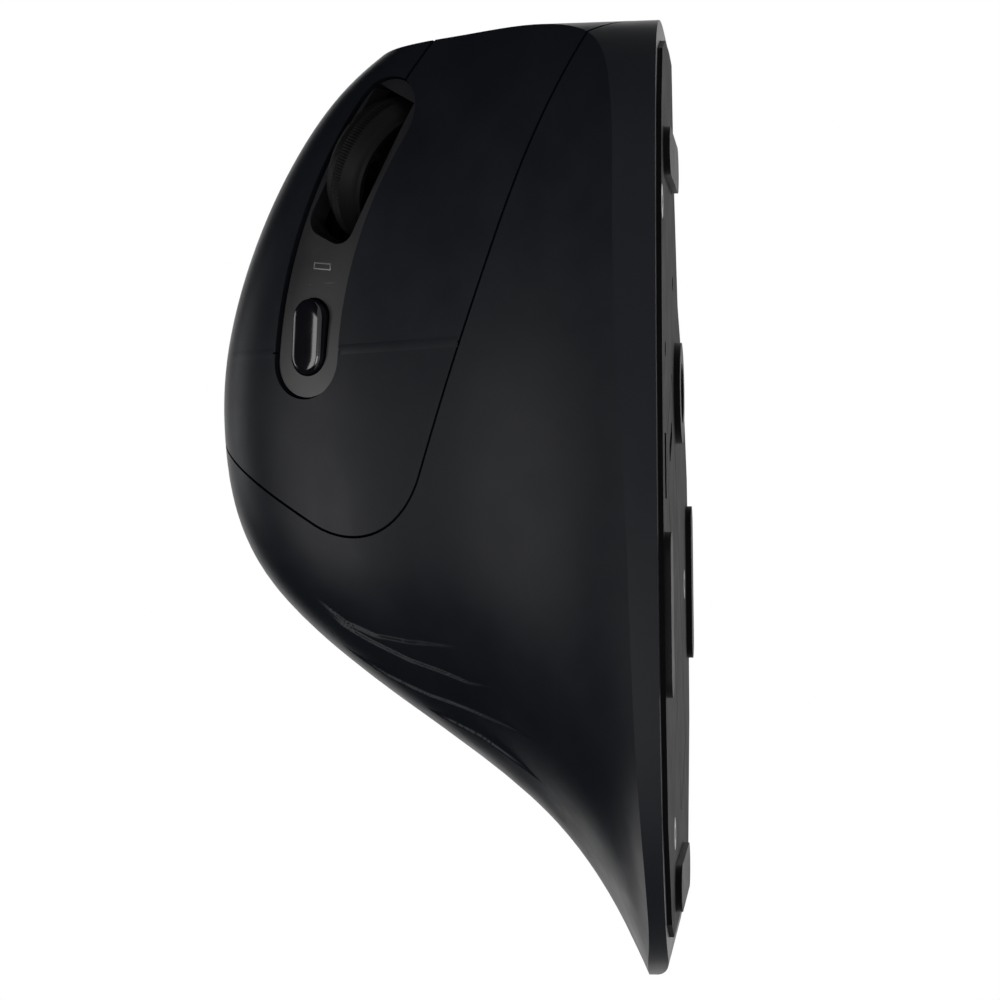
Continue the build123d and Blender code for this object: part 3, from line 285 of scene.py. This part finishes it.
NODE_MATERIALS = {
    "main_shell": body, "button_cover": body, "left_button": body, "right_button": body,
    "control_strip": strip, "light_window": lamp_window, "dpi_button": piano,
    "forward_button": piano, "back_button": piano,
    "scroll_tyre": rubber, "scroll_hub": hub, "scroll_axle": inner, "wheel_cradle": inner, "encoder": inner,
    "wheel_switch": case, "left_switch": case, "right_switch": case, "dpi_switch": case,
    "forward_switch": case, "back_switch": case,
    "side_board": board, "button_board": board, "main_board": board, "inner_frame": inner,
    "board_screws": screw_steel, "sensor": chip, "sensor_lens": lens, "sensor_ring": glide,
    "power_switch": chip, "power_knob": knob_plastic,
    "battery": cell, "battery_contact": steel, "battery_spring": steel, "battery_door": base,
    "base_plate": base, "base_screws": screw_steel,
    "front_foot": glide, "rear_foot": glide, "left_foot": glide, "right_foot": glide,
}


def dress(obj, material):
    """Gives every face of a piece one material."""
    if not obj.material_slots:
        obj.data.materials.append(material)
    for slot in obj.material_slots:
        slot.material = material


for name, obj in frame["nodes"].items():
    dress(obj, NODE_MATERIALS[name])


# Mesh helpers
def add_object(name, mesh, material):
    """Object of a mesh in one material."""
    obj = bpy.data.objects.new(name, mesh)
    bpy.context.scene.collection.objects.link(obj)
    dress(obj, material)
    return obj


def add_mesh(name, points, faces, material, smooth=True):
    """Object of points and faces in one material."""
    mesh = bpy.data.meshes.new(name)
    mesh.from_pydata(points, [], faces)
    mesh.update()
    for polygon in mesh.polygons:
        polygon.use_smooth = smooth
    return add_object(name, mesh, material)


def grid_faces(rows, columns, ring_rows=False, ring_columns=False):
    """Quads between points that lie in rows, closed into a ring either way if asked."""
    faces = []
    for row in range(rows if ring_rows else rows - 1):
        here = row * columns
        there = (row + 1) % rows * columns
        for column in range(columns if ring_columns else columns - 1):
            beside = (column + 1) % columns
            faces.append((here + column, here + beside, there + beside, there + column))
    return faces


# Skin of the CAD nodes, searched with rays that start a reach out from the finger plane
SKIN_NODES = ("main_shell", "button_cover", "left_button", "right_button", "control_strip")
SKIN_REACH = 30.0


def skin_tree():
    """Search tree of the skin, and the node of each of its faces."""
    points, faces, owners = [], [], []
    for name in SKIN_NODES:
        mesh = frame["nodes"][name].data
        start = len(points)
        points += [vertex.co.copy() for vertex in mesh.vertices]
        faces += [[start + index for index in polygon.vertices] for polygon in mesh.polygons]
        owners += [name] * len(mesh.polygons)
    return BVHTree.FromPolygons(points, faces), owners


skin, skin_owners = skin_tree()


def skin_point(along, up):
    """Point on the skin over a place of the finger plane."""
    place, *_ = skin.ray_cast(face_point(along, up, SKIN_REACH), -OUT)
    return place


# Flexing root of each main button: a thin web flush with the skin. Its rows follow rays towards a point
# inside the housing, at these degrees round it and from this reach away. Each row is found from two rays, one
# to either side of the hairline, and its columns have an offset and a lift.
BUTTON_ROOT = 20.0
ROOT_MIDDLE = Vector((-4, BUTTON_ROOT, 32))
ROOT_REACH = 80.0
ROOT_ANGLES = range(-20, 200)
ROOT_PROBE = 0.32
ROOT_COLUMNS = ((-0.70, -0.010), (-0.62, 0.003), (0.0, 0.006), (0.62, 0.003), (0.70, -0.010))


def root_hit(angle, offset):
    """Place and node of the skin that a ray round the root meets, at an offset from the hairline."""
    ray = Vector((cos(angle), 0, sin(angle)))
    start = (ROOT_MIDDLE + Vector((0, offset, 0)) + ray * ROOT_REACH) * MM
    place, _, index, _ = skin.ray_cast(start, -ray)
    return place, None if index is None else skin_owners[index]


def root_web(name, button):
    """Web across the hairline between the button cover and one button."""
    points = []
    for degrees in ROOT_ANGLES:
        hits = [root_hit(radians(degrees), offset) for offset in (-ROOT_PROBE, ROOT_PROBE)]
        if [owner for _, owner in hits] != ["button_cover", button]:
            continue
        near, far = (place for place, _ in hits)
        outward = (near - ROOT_MIDDLE * MM).normalized()
        for offset, lift in ROOT_COLUMNS:
            share = (offset / ROOT_PROBE + 1) / 2
            points.append(near.lerp(far, share) + outward * (lift * MM))
    rows = len(points) // len(ROOT_COLUMNS)
    web = add_mesh(name, points, grid_faces(rows, len(ROOT_COLUMNS)), body)
    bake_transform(web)


root_web("root_web_left", "left_button")
root_web("root_web_right", "right_button")

# Tyre with round shoulders and a narrow band of fine ribs. The bead is the edge that grips the hub: radius
# and place along the axle of its points. The lip is how far the shoulder stops below and beside the ribs.
TYRE_RADIUS = 10.45
TYRE_HALF = 3.2
CROWN_DROP = 1.85
CROWN_ROUND = 0.75
CROWN_FLAT = 0.72
CROWN_STEPS = 10
BEAD_PLACES = ((8.8, 2.9), (9.05, 3.14))
RIB_HALF = 0.72
RIB_DEPTH = 0.14
RIB_LIP = (0.02, 0.04)
RIBS = 160
RIB_STEPS = (0.0, 0.0, 1.0, 1.0)


def tyre_crown():
    """Crowned outline of the tyre from edge to edge."""
    crown = []
    for step in range(CROWN_STEPS + 1):
        angle = pi * (step / CROWN_STEPS - 0.5)
        side = sin(angle)
        radius = TYRE_RADIUS - CROWN_DROP + CROWN_DROP * abs(cos(angle)) ** CROWN_ROUND
        crown.append((radius, TYRE_HALF * ((1 - CROWN_FLAT) * side + CROWN_FLAT * side ** 3)))
    return crown


def tyre():
    """Ribbed tyre, swept round the axle."""
    crown = tyre_crown()
    lip_drop, lip_width = RIB_LIP
    lip = TYRE_RADIUS - lip_drop
    left = [(radius, -place) for radius, place in BEAD_PLACES]
    left += [point for point in crown if point[1] < -RIB_HALF]
    left.sort(key=lambda point: point[1])
    left.append((lip, -RIB_HALF - lip_width))
    right = [(lip, RIB_HALF + lip_width)] + [point for point in crown if point[1] > RIB_HALF]
    right += reversed(BEAD_PLACES)
    section = left + [(TYRE_RADIUS, -RIB_HALF), (TYRE_RADIUS, RIB_HALF)] + right
    ribbed = (len(left), len(left) + 1)
    inward = AXLE.cross(WHEEL_RUN).normalized()
    count = RIBS * len(RIB_STEPS)
    points = []
    for turn in range(count):
        angle = 2 * pi * turn / count
        spoke = WHEEL_RUN * cos(angle) + inward * sin(angle)
        sunk = RIB_DEPTH * RIB_STEPS[turn % len(RIB_STEPS)]
        for index, (radius, place) in enumerate(section):
            depth = sunk if index in ribbed else 0.0
            points.append(WHEEL_CENTRE + (spoke * (radius - depth) + AXLE * place) * MM)
    faces = grid_faces(count, len(section), ring_rows=True, ring_columns=True)
    made = add_mesh("tyre", points, faces, rubber)
    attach(made, "wheel")
    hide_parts("scroll_tyre")


tyre()

# Domed cap of the small button: its size, the height it stands on, and the inset and height of each of its
# rings, from its skirt to its top
DPI_LENGTH = 10.0
DPI_WIDTH = 5.3
DPI_TOP = 0.758
CAP_STEPS = 64
CAP_LAYERS = (
    (0.0, -0.7), (0.0, 0.05), (0.05, 0.22), (0.16, 0.36), (0.34, 0.47),
    (0.62, 0.55), (1.05, 0.60), (1.6, 0.63), (2.2, 0.64),
)


def slot_ring(length, width):
    """Outline of a round-ended slot round the origin."""
    radius = width / 2
    straight = (length - width) / 2
    ring = []
    for step in range(CAP_STEPS):
        angle = 2 * pi * (step + 0.5) / CAP_STEPS
        shift = straight if cos(angle) > 0 else -straight
        ring.append((shift + radius * cos(angle), radius * sin(angle)))
    return ring


def dpi_cap():
    """Cap over the button, turned along the strip."""
    middle = strip_place(DPI_SHARE)
    run = strip_run(DPI_SHARE)
    side = Vector((-run.y, run.x))
    points = []
    for inset, height in CAP_LAYERS:
        for along, up in slot_ring(DPI_LENGTH - 2 * inset, DPI_WIDTH - 2 * inset):
            place = middle + run * along + side * up
            points.append(face_point(place.x, place.y, DPI_TOP + height))
    faces = grid_faces(len(CAP_LAYERS), CAP_STEPS, ring_columns=True)
    faces.append(tuple(range(len(points) - CAP_STEPS, len(points))))
    cap = add_mesh("dpi_cap", points, faces, piano)
    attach(cap, "dpi")


dpi_cap()

# Light window: half its size along the strip and up the slope, its slant and the width of the line round it
LIGHT_HALF = (0.33, 1.28)
LIGHT_SLANT = 0.35
LINE_WIDTH = 0.12
LINE_TUCK = 0.03
LINE_RINGS = ((-LINE_TUCK, 0.02), (0.0, 0.035), (LINE_WIDTH, 0.035), (LINE_WIDTH + LINE_TUCK, 0.005))
LINE_CORNERS = ((-1, -1), (1, -1), (1, 1), (-1, 1))

# Patch that closes the window's opening: half its size, and the share and lift of its rows and columns
PATCH_HALF = (2.4, 2.2)
PATCH_ROWS = (
    (-1.0, -0.012), (-0.98, 0.005), (-0.95, 0.006), (0.0, 0.006), (0.95, 0.006), (0.98, 0.005), (1.0, -0.012),
)


def strip_top(along, up, lift):
    """Point over the strip's window, bridged between the strip's surface above and below it."""
    middle = strip_place(LIGHT_SHARE)
    below, above = (skin_point(middle.x + along, middle.y + side * PATCH_HALF[1]) for side in (-1, 1))
    return below.lerp(above, (up / PATCH_HALF[1] + 1) / 2) + OUT * (lift * MM)


def window_patch():
    """Strip surface over the window's opening, with its edge tucked into the strip."""
    points = [
        strip_top(a * PATCH_HALF[0], b * PATCH_HALF[1], min(lift_a, lift_b))
        for a, lift_a in PATCH_ROWS
        for b, lift_b in PATCH_ROWS
    ]
    patch = add_mesh("window_patch", points, grid_faces(len(PATCH_ROWS), len(PATCH_ROWS)), strip)
    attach(patch, "housing")
    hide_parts("light_window")


def light_outline():
    """Thin inlaid line round the light window."""
    points = [
        strip_top(a * (LIGHT_HALF[0] + grow) + b * LIGHT_SLANT / 2, b * (LIGHT_HALF[1] + grow), lift)
        for grow, lift in LINE_RINGS
        for a, b in LINE_CORNERS
    ]
    faces = grid_faces(len(LINE_RINGS), len(LINE_CORNERS), ring_columns=True)
    outline = add_mesh("light_outline", points, faces, window_line)
    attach(outline, "housing")


window_patch()
light_outline()

# Soft folds of the ridge behind the buttons, each a line of places on the skin
FOLDS = (
    ((4.6, -11.9, 49.8), (6.4, -16.0, 44.6), (8.4, -17.7, 40.4), (11.2, -18.4, 35.6), (17.1, -18.8, 27.7)),
    (
        (4.6, -13.2, 49.0), (6.2, -16.4, 44.7), (7.8, -18.4, 40.8),
        (10.2, -20.8, 35.3), (15.3, -23.4, 27.0), (19.5, -23.8, 22.3),
    ),
    ((2.7, -18.8, 46.0), (6.0, -23.0, 38.8), (9.1, -25.4, 32.9), (13.9, -27.7, 25.3), (20.7, -30.5, 17.2)),
    ((6.3, -27.0, 34.3), (10.8, -30.5, 26.2), (15.0, -36.5, 17.3)),
)

# Step of a fold: its height, how fast it fades beside the line, its width, how far it reaches, and over what
# distance and what shares of the line it dies out at its limits
FOLD_DEPTH = 0.32
FOLD_FADE = 3.2
FOLD_STEP = 0.35
FOLD_REACH = 9.0
FOLD_EASE = 2.0
FOLD_ENDS = (0.25, 0.3)

# Side of a fold that stands up, and how much the skin has to face out of the finger plane to be folded
FOLD_SIDE = Vector((0, -1, 0.4))
FOLD_FACING = 0.15

# Edge lengths of the finer mesh beside a fold, near it and farther off, and where the first two end
FINE_EDGE = 0.32
NEAR_EDGE = 0.9
FAR_EDGE = 1.8
FINE_WITHIN = 0.5
NEAR_WITHIN = 3.0

# Distance under which points are welded, the most rounds of splitting, and the share of the way to its face's
# centre that a corner is drawn in before its normal is looked up
WELD = 0.001
REFINE_ROUNDS = 9
CORNER_SHIFT = 0.02


def fold_line(places):
    """A fold as its pieces: start, end, and the shares of the fold's length at both."""
    corners = [Vector(place) for place in places]
    lengths = [(b - a).length for a, b in zip(corners, corners[1:])]
    total = sum(lengths)
    walked = 0.0
    pieces = []
    for a, b, length in zip(corners, corners[1:], lengths):
        pieces.append((a, b, walked / total, (walked + length) / total))
        walked += length
    return pieces


def fold_range(axis):
    """Lowest and highest place that the folds reach along an axis."""
    places = [place[axis] for fold in FOLDS for place in fold]
    return min(places) - FOLD_REACH, max(places) + FOLD_REACH


fold_lines = [fold_line(places) for places in FOLDS]
fold_box = [fold_range(axis) for axis in range(3)]


def in_fold_box(place):
    """Whether a place lies near enough to the folds to be changed by them."""
    return all(low <= value <= high for value, (low, high) in zip(place, fold_box))


def nearest_on(pieces, place):
    """Nearest place of a fold: its distance, the place, the direction there and the share of the length."""
    best = None
    for a, b, low, high in pieces:
        run = b - a
        share = min(max((place - a).dot(run) / run.length_squared, 0.0), 1.0)
        spot = a + run * share
        distance = (place - spot).length
        if best is None or distance < best[0]:
            best = (distance, spot, run, low + (high - low) * share)
    return best


def ease(value):
    """Smooth step from 0 to 1."""
    value = min(max(value, 0.0), 1.0)
    return value * value * (3 - 2 * value)


def fold_height(place, normal):
    """Height that the folds add to the skin: a sharp step that fades out on both sides."""
    height = 0.0
    for pieces in fold_lines:
        distance, spot, run, share = nearest_on(pieces, place)
        if distance > FOLD_REACH:
            continue
        across = normal.cross(run).normalized()
        if across.dot(FOLD_SIDE) < 0:
            across.negate()
        side = (place - spot).dot(across)
        ends = ease(share / FOLD_ENDS[0]) * ease((1 - share) / FOLD_ENDS[1])
        fade = ends * ease((FOLD_REACH - distance) / FOLD_EASE) * exp(-abs(side) / FOLD_FADE)
        step = ease(side / FOLD_STEP + 0.5) - 0.5
        height += FOLD_DEPTH * fade * step
    return height


def wanted_edge(distance):
    """Edge length that the mesh needs at a distance from a fold."""
    if distance < FINE_WITHIN:
        return FINE_EDGE
    return NEAR_EDGE if distance < NEAR_WITHIN else FAR_EDGE


def too_long(edge):
    """Whether an edge is longer than the folds near it allow."""
    middle = (edge.verts[0].co + edge.verts[1].co) / 2 / MM
    length = edge.calc_length() / MM
    if length < FINE_EDGE or not in_fold_box(middle):
        return False
    distance = min(nearest_on(pieces, middle)[0] for pieces in fold_lines) - length / 2
    return distance < FOLD_REACH - FOLD_EASE and length > wanted_edge(distance)


def refine(shell):
    """Splits the long edges near the folds."""
    for _ in range(REFINE_ROUNDS):
        long = [edge for edge in shell.edges if too_long(edge)]
        if not long:
            break
        bmesh.ops.subdivide_edges(shell, edges=long, cuts=1)
        bmesh.ops.triangulate(shell, faces=[face for face in shell.faces if len(face.verts) > 3])


def source_normals(mesh, shell):
    """Normal of the source mesh at each corner of the finer mesh, face by face."""
    mesh.calc_loop_triangles()
    corners = [normal.vector.copy() for normal in mesh.corner_normals]
    places = [vertex.co.copy() for vertex in mesh.vertices]
    triangles = [(tuple(triangle.vertices), tuple(triangle.loops)) for triangle in mesh.loop_triangles]
    tree = BVHTree.FromPolygons(places, [vertices for vertices, _ in triangles])

    def normal_at(place):
        spot, _, index, _ = tree.find_nearest(place)
        vertices, loops = triangles[index]
        a, b, c = (places[vertex] for vertex in vertices)
        return barycentric_transform(spot, a, b, c, *(corners[loop] for loop in loops)).normalized()

    rows = []
    for face in shell.faces:
        centre = face.calc_center_median()
        rows.append([normal_at(vertex.co.lerp(centre, CORNER_SHIFT)) for vertex in face.verts])
    return rows


def folded_shell():
    """Finer copy of the main shell with the folds in its skin."""
    source = frame["nodes"]["main_shell"].data
    shell = bmesh.new()
    shell.from_mesh(source)
    bmesh.ops.remove_doubles(shell, verts=shell.verts, dist=WELD * MM)
    refine(shell)
    shell.normal_update()
    before = [vertex.normal.copy() for vertex in shell.verts]
    flat_normals = source_normals(source, shell)
    for vertex in shell.verts:
        place = vertex.co / MM
        if in_fold_box(place) and vertex.normal.dot(OUT) > FOLD_FACING:
            vertex.co += vertex.normal * (fold_height(place, vertex.normal) * MM)
    shell.normal_update()
    shell.verts.index_update()
    turned = [vertex.normal - old for vertex, old in zip(shell.verts, before)]
    normals = [
        (normal + turned[vertex.index]).normalized()
        for face, row in zip(shell.faces, flat_normals)
        for vertex, normal in zip(face.verts, row)
    ]
    mesh = bpy.data.meshes.new("folded_shell")
    shell.to_mesh(mesh)
    shell.free()
    for polygon in mesh.polygons:
        polygon.use_smooth = True
    mesh.normals_split_custom_set(normals)
    made = add_object("folded_shell", mesh, body)
    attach(made, "housing")
    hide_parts("main_shell")


folded_shell()

# Camera of the photograph: the image's top is the front of the mouse
CAMERA_PLACE = Vector((320, 0, -14)) * MM
CAMERA_TARGET = Vector((0, 0, 24.5)) * MM
CAMERA_ROLL = -0.011
CAMERA_LENS = 86.4
CAMERA_SENSOR = 36.0
CAMERA_CLIP = (0.01, 20.0)


def add_camera():
    """Camera rolled about its line of sight."""
    forward = (CAMERA_TARGET - CAMERA_PLACE).normalized()
    level = forward.cross(ALONG).normalized()
    upright = level.cross(forward)
    right = level * cos(CAMERA_ROLL) + upright * sin(CAMERA_ROLL)
    up = upright * cos(CAMERA_ROLL) - level * sin(CAMERA_ROLL)
    turn = Matrix((right, up, -forward)).transposed().to_4x4()
    camera = bpy.data.objects.new("camera", bpy.data.cameras.new("camera"))
    camera.matrix_world = Matrix.Translation(CAMERA_PLACE) @ turn
    camera.data.lens = CAMERA_LENS
    camera.data.sensor_width = CAMERA_SENSOR
    camera.data.clip_start, camera.data.clip_end = CAMERA_CLIP
    bpy.context.scene.collection.objects.link(camera)
    bpy.context.scene.camera = camera


add_camera()

# Studio, in metres: half the floor's size, and where the floor fades into the white beyond it
FLOOR = 4.0
FLOOR_FADE = (0.15, 0.5)

# Black cards over the front and the back: half their length, heights of their top and foot, and their reach
CARD_HALF = 0.7
CARD_TOP = 1.05
CARD_FOOT = 0.05
CARD_RIDGE = -0.05
CARDS = (("front_card", 0.75), ("back_card", -0.85))

# Lamps: place, target, size, power and colour
WARM = (1.0, 0.99, 0.98)
COOL = (0.98, 0.99, 1.0)
WHITE = (1.0, 1.0, 1.0)
LAMPS = {
    "key": ((0.38, -0.07, 0.67), (0, 0, 0.03), (0.36, 0.30), 2.0, WARM),
    "top": ((-0.24, 0.04, 0.76), (0, 0, 0.03), (0.3, 0.3), 0.63, COOL),
    "side": ((0.60, -0.18, 0.28), (0, 0, 0.03), (0.3, 0.3), 2.25, WARM),
    "low": ((0.6, -0.24, -0.36), (0, 0, 0.01), (0.3, 0.3), 0.35, WHITE),
}

# Soft light of the room, and the white that is seen behind the object
ROOM_COLOUR = (0.95, 0.97, 1.0)
ROOM_STRENGTH = 0.12


def floor_material():
    """Pale floor, unseen from below, where the photograph's camera stands, and clear beyond its fade."""
    made = Shader("floor_paper", Specular_IOR_Level=0.1)
    made.colour((0.80, 0.80, 0.80), (0.83, 0.83, 0.83), 60.0)
    made.roughness(0.7, 0.8, 40.0)
    made.grain(0.6, 0.01)
    away = made.node("ShaderNodeVectorMath")
    away.operation = "LENGTH"
    made.link(made.place, away.inputs[0])
    fade = made.node("ShaderNodeMapRange")
    fade.inputs["From Min"].default_value, fade.inputs["From Max"].default_value = FLOOR_FADE
    made.link(away.outputs["Value"], fade.inputs["Value"])
    unseen = made.node("ShaderNodeMath")
    unseen.operation = "MAXIMUM"
    made.link(made.node("ShaderNodeNewGeometry").outputs["Backfacing"], unseen.inputs[0])
    made.link(fade.outputs["Result"], unseen.inputs[1])
    mix = made.node("ShaderNodeMixShader")
    made.link(unseen.outputs["Value"], mix.inputs["Fac"])
    made.link(made.shader.outputs["BSDF"], mix.inputs[1])
    made.link(made.node("ShaderNodeBsdfTransparent").outputs["BSDF"], mix.inputs[2])
    made.link(mix.outputs["Shader"], made.tree.nodes["Material Output"].inputs["Surface"])
    return made.material


def add_floor():
    """Square floor that casts no shadow and shows in no reflection."""
    corners = [(-FLOOR, -FLOOR, 0), (FLOOR, -FLOOR, 0), (FLOOR, FLOOR, 0), (-FLOOR, FLOOR, 0)]
    floor = add_mesh("floor", corners, [(0, 1, 2, 3)], floor_material(), smooth=False)
    floor.visible_shadow = False
    floor.visible_glossy = False


def add_cards():
    """Black cards that are seen only in reflections."""
    black = plastic(
        "card_black", (0.001, 0.001, 0.001), (0.002, 0.002, 0.002),
        rough=0.9, grain=(5.0, 0.01), level=0.0,
    )
    for name, reach in CARDS:
        corners = [
            (-CARD_HALF, CARD_RIDGE, CARD_TOP), (CARD_HALF, CARD_RIDGE, CARD_TOP),
            (CARD_HALF, reach, CARD_FOOT), (-CARD_HALF, reach, CARD_FOOT),
        ]
        card = add_mesh(name, corners, [(0, 1, 2, 3)], black, smooth=False)
        card.visible_camera = False
        card.visible_diffuse = False
        card.visible_transmission = False
        card.visible_shadow = False


def add_lamp(name, place, target, size, power, colour):
    """Rectangular lamp that faces its target."""
    data = bpy.data.lights.new(name, "AREA")
    data.shape = "RECTANGLE"
    data.size, data.size_y = size
    data.energy = power
    data.color = colour
    lamp = bpy.data.objects.new(name, data)
    lamp.location = place
    lamp.rotation_euler = (Vector(target) - Vector(place)).to_track_quat("-Z", "Y").to_euler()
    bpy.context.scene.collection.objects.link(lamp)


def add_world():
    """Soft light of the room, with plain white for what the camera and glossy or clear surfaces see."""
    world = bpy.data.worlds.new("studio")
    world.use_nodes = True
    bpy.context.scene.world = world
    nodes, links = world.node_tree.nodes, world.node_tree.links

    def background(colour, strength):
        made = nodes.new("ShaderNodeBackground")
        made.inputs["Color"].default_value = (*colour, 1)
        made.inputs["Strength"].default_value = strength
        return made.outputs["Background"]

    def either(first, second):
        made = nodes.new("ShaderNodeMath")
        made.operation = "MAXIMUM"
        links.new(first, made.inputs[0])
        links.new(second, made.inputs[1])
        return made.outputs["Value"]

    rays = nodes.new("ShaderNodeLightPath").outputs
    seen = either(either(rays["Is Camera Ray"], rays["Is Glossy Ray"]), rays["Is Transmission Ray"])
    mixed = nodes.new("ShaderNodeMixShader")
    links.new(seen, mixed.inputs["Fac"])
    links.new(background(ROOM_COLOUR, ROOM_STRENGTH), mixed.inputs[1])
    links.new(background(WHITE, 1.0), mixed.inputs[2])
    links.new(mixed.outputs["Shader"], nodes["World Output"].inputs["Surface"])


add_floor()
add_cards()
for name, settings in LAMPS.items():
    add_lamp(name, *settings)
add_world()

bpy.context.scene.view_settings.view_transform = "Standard"
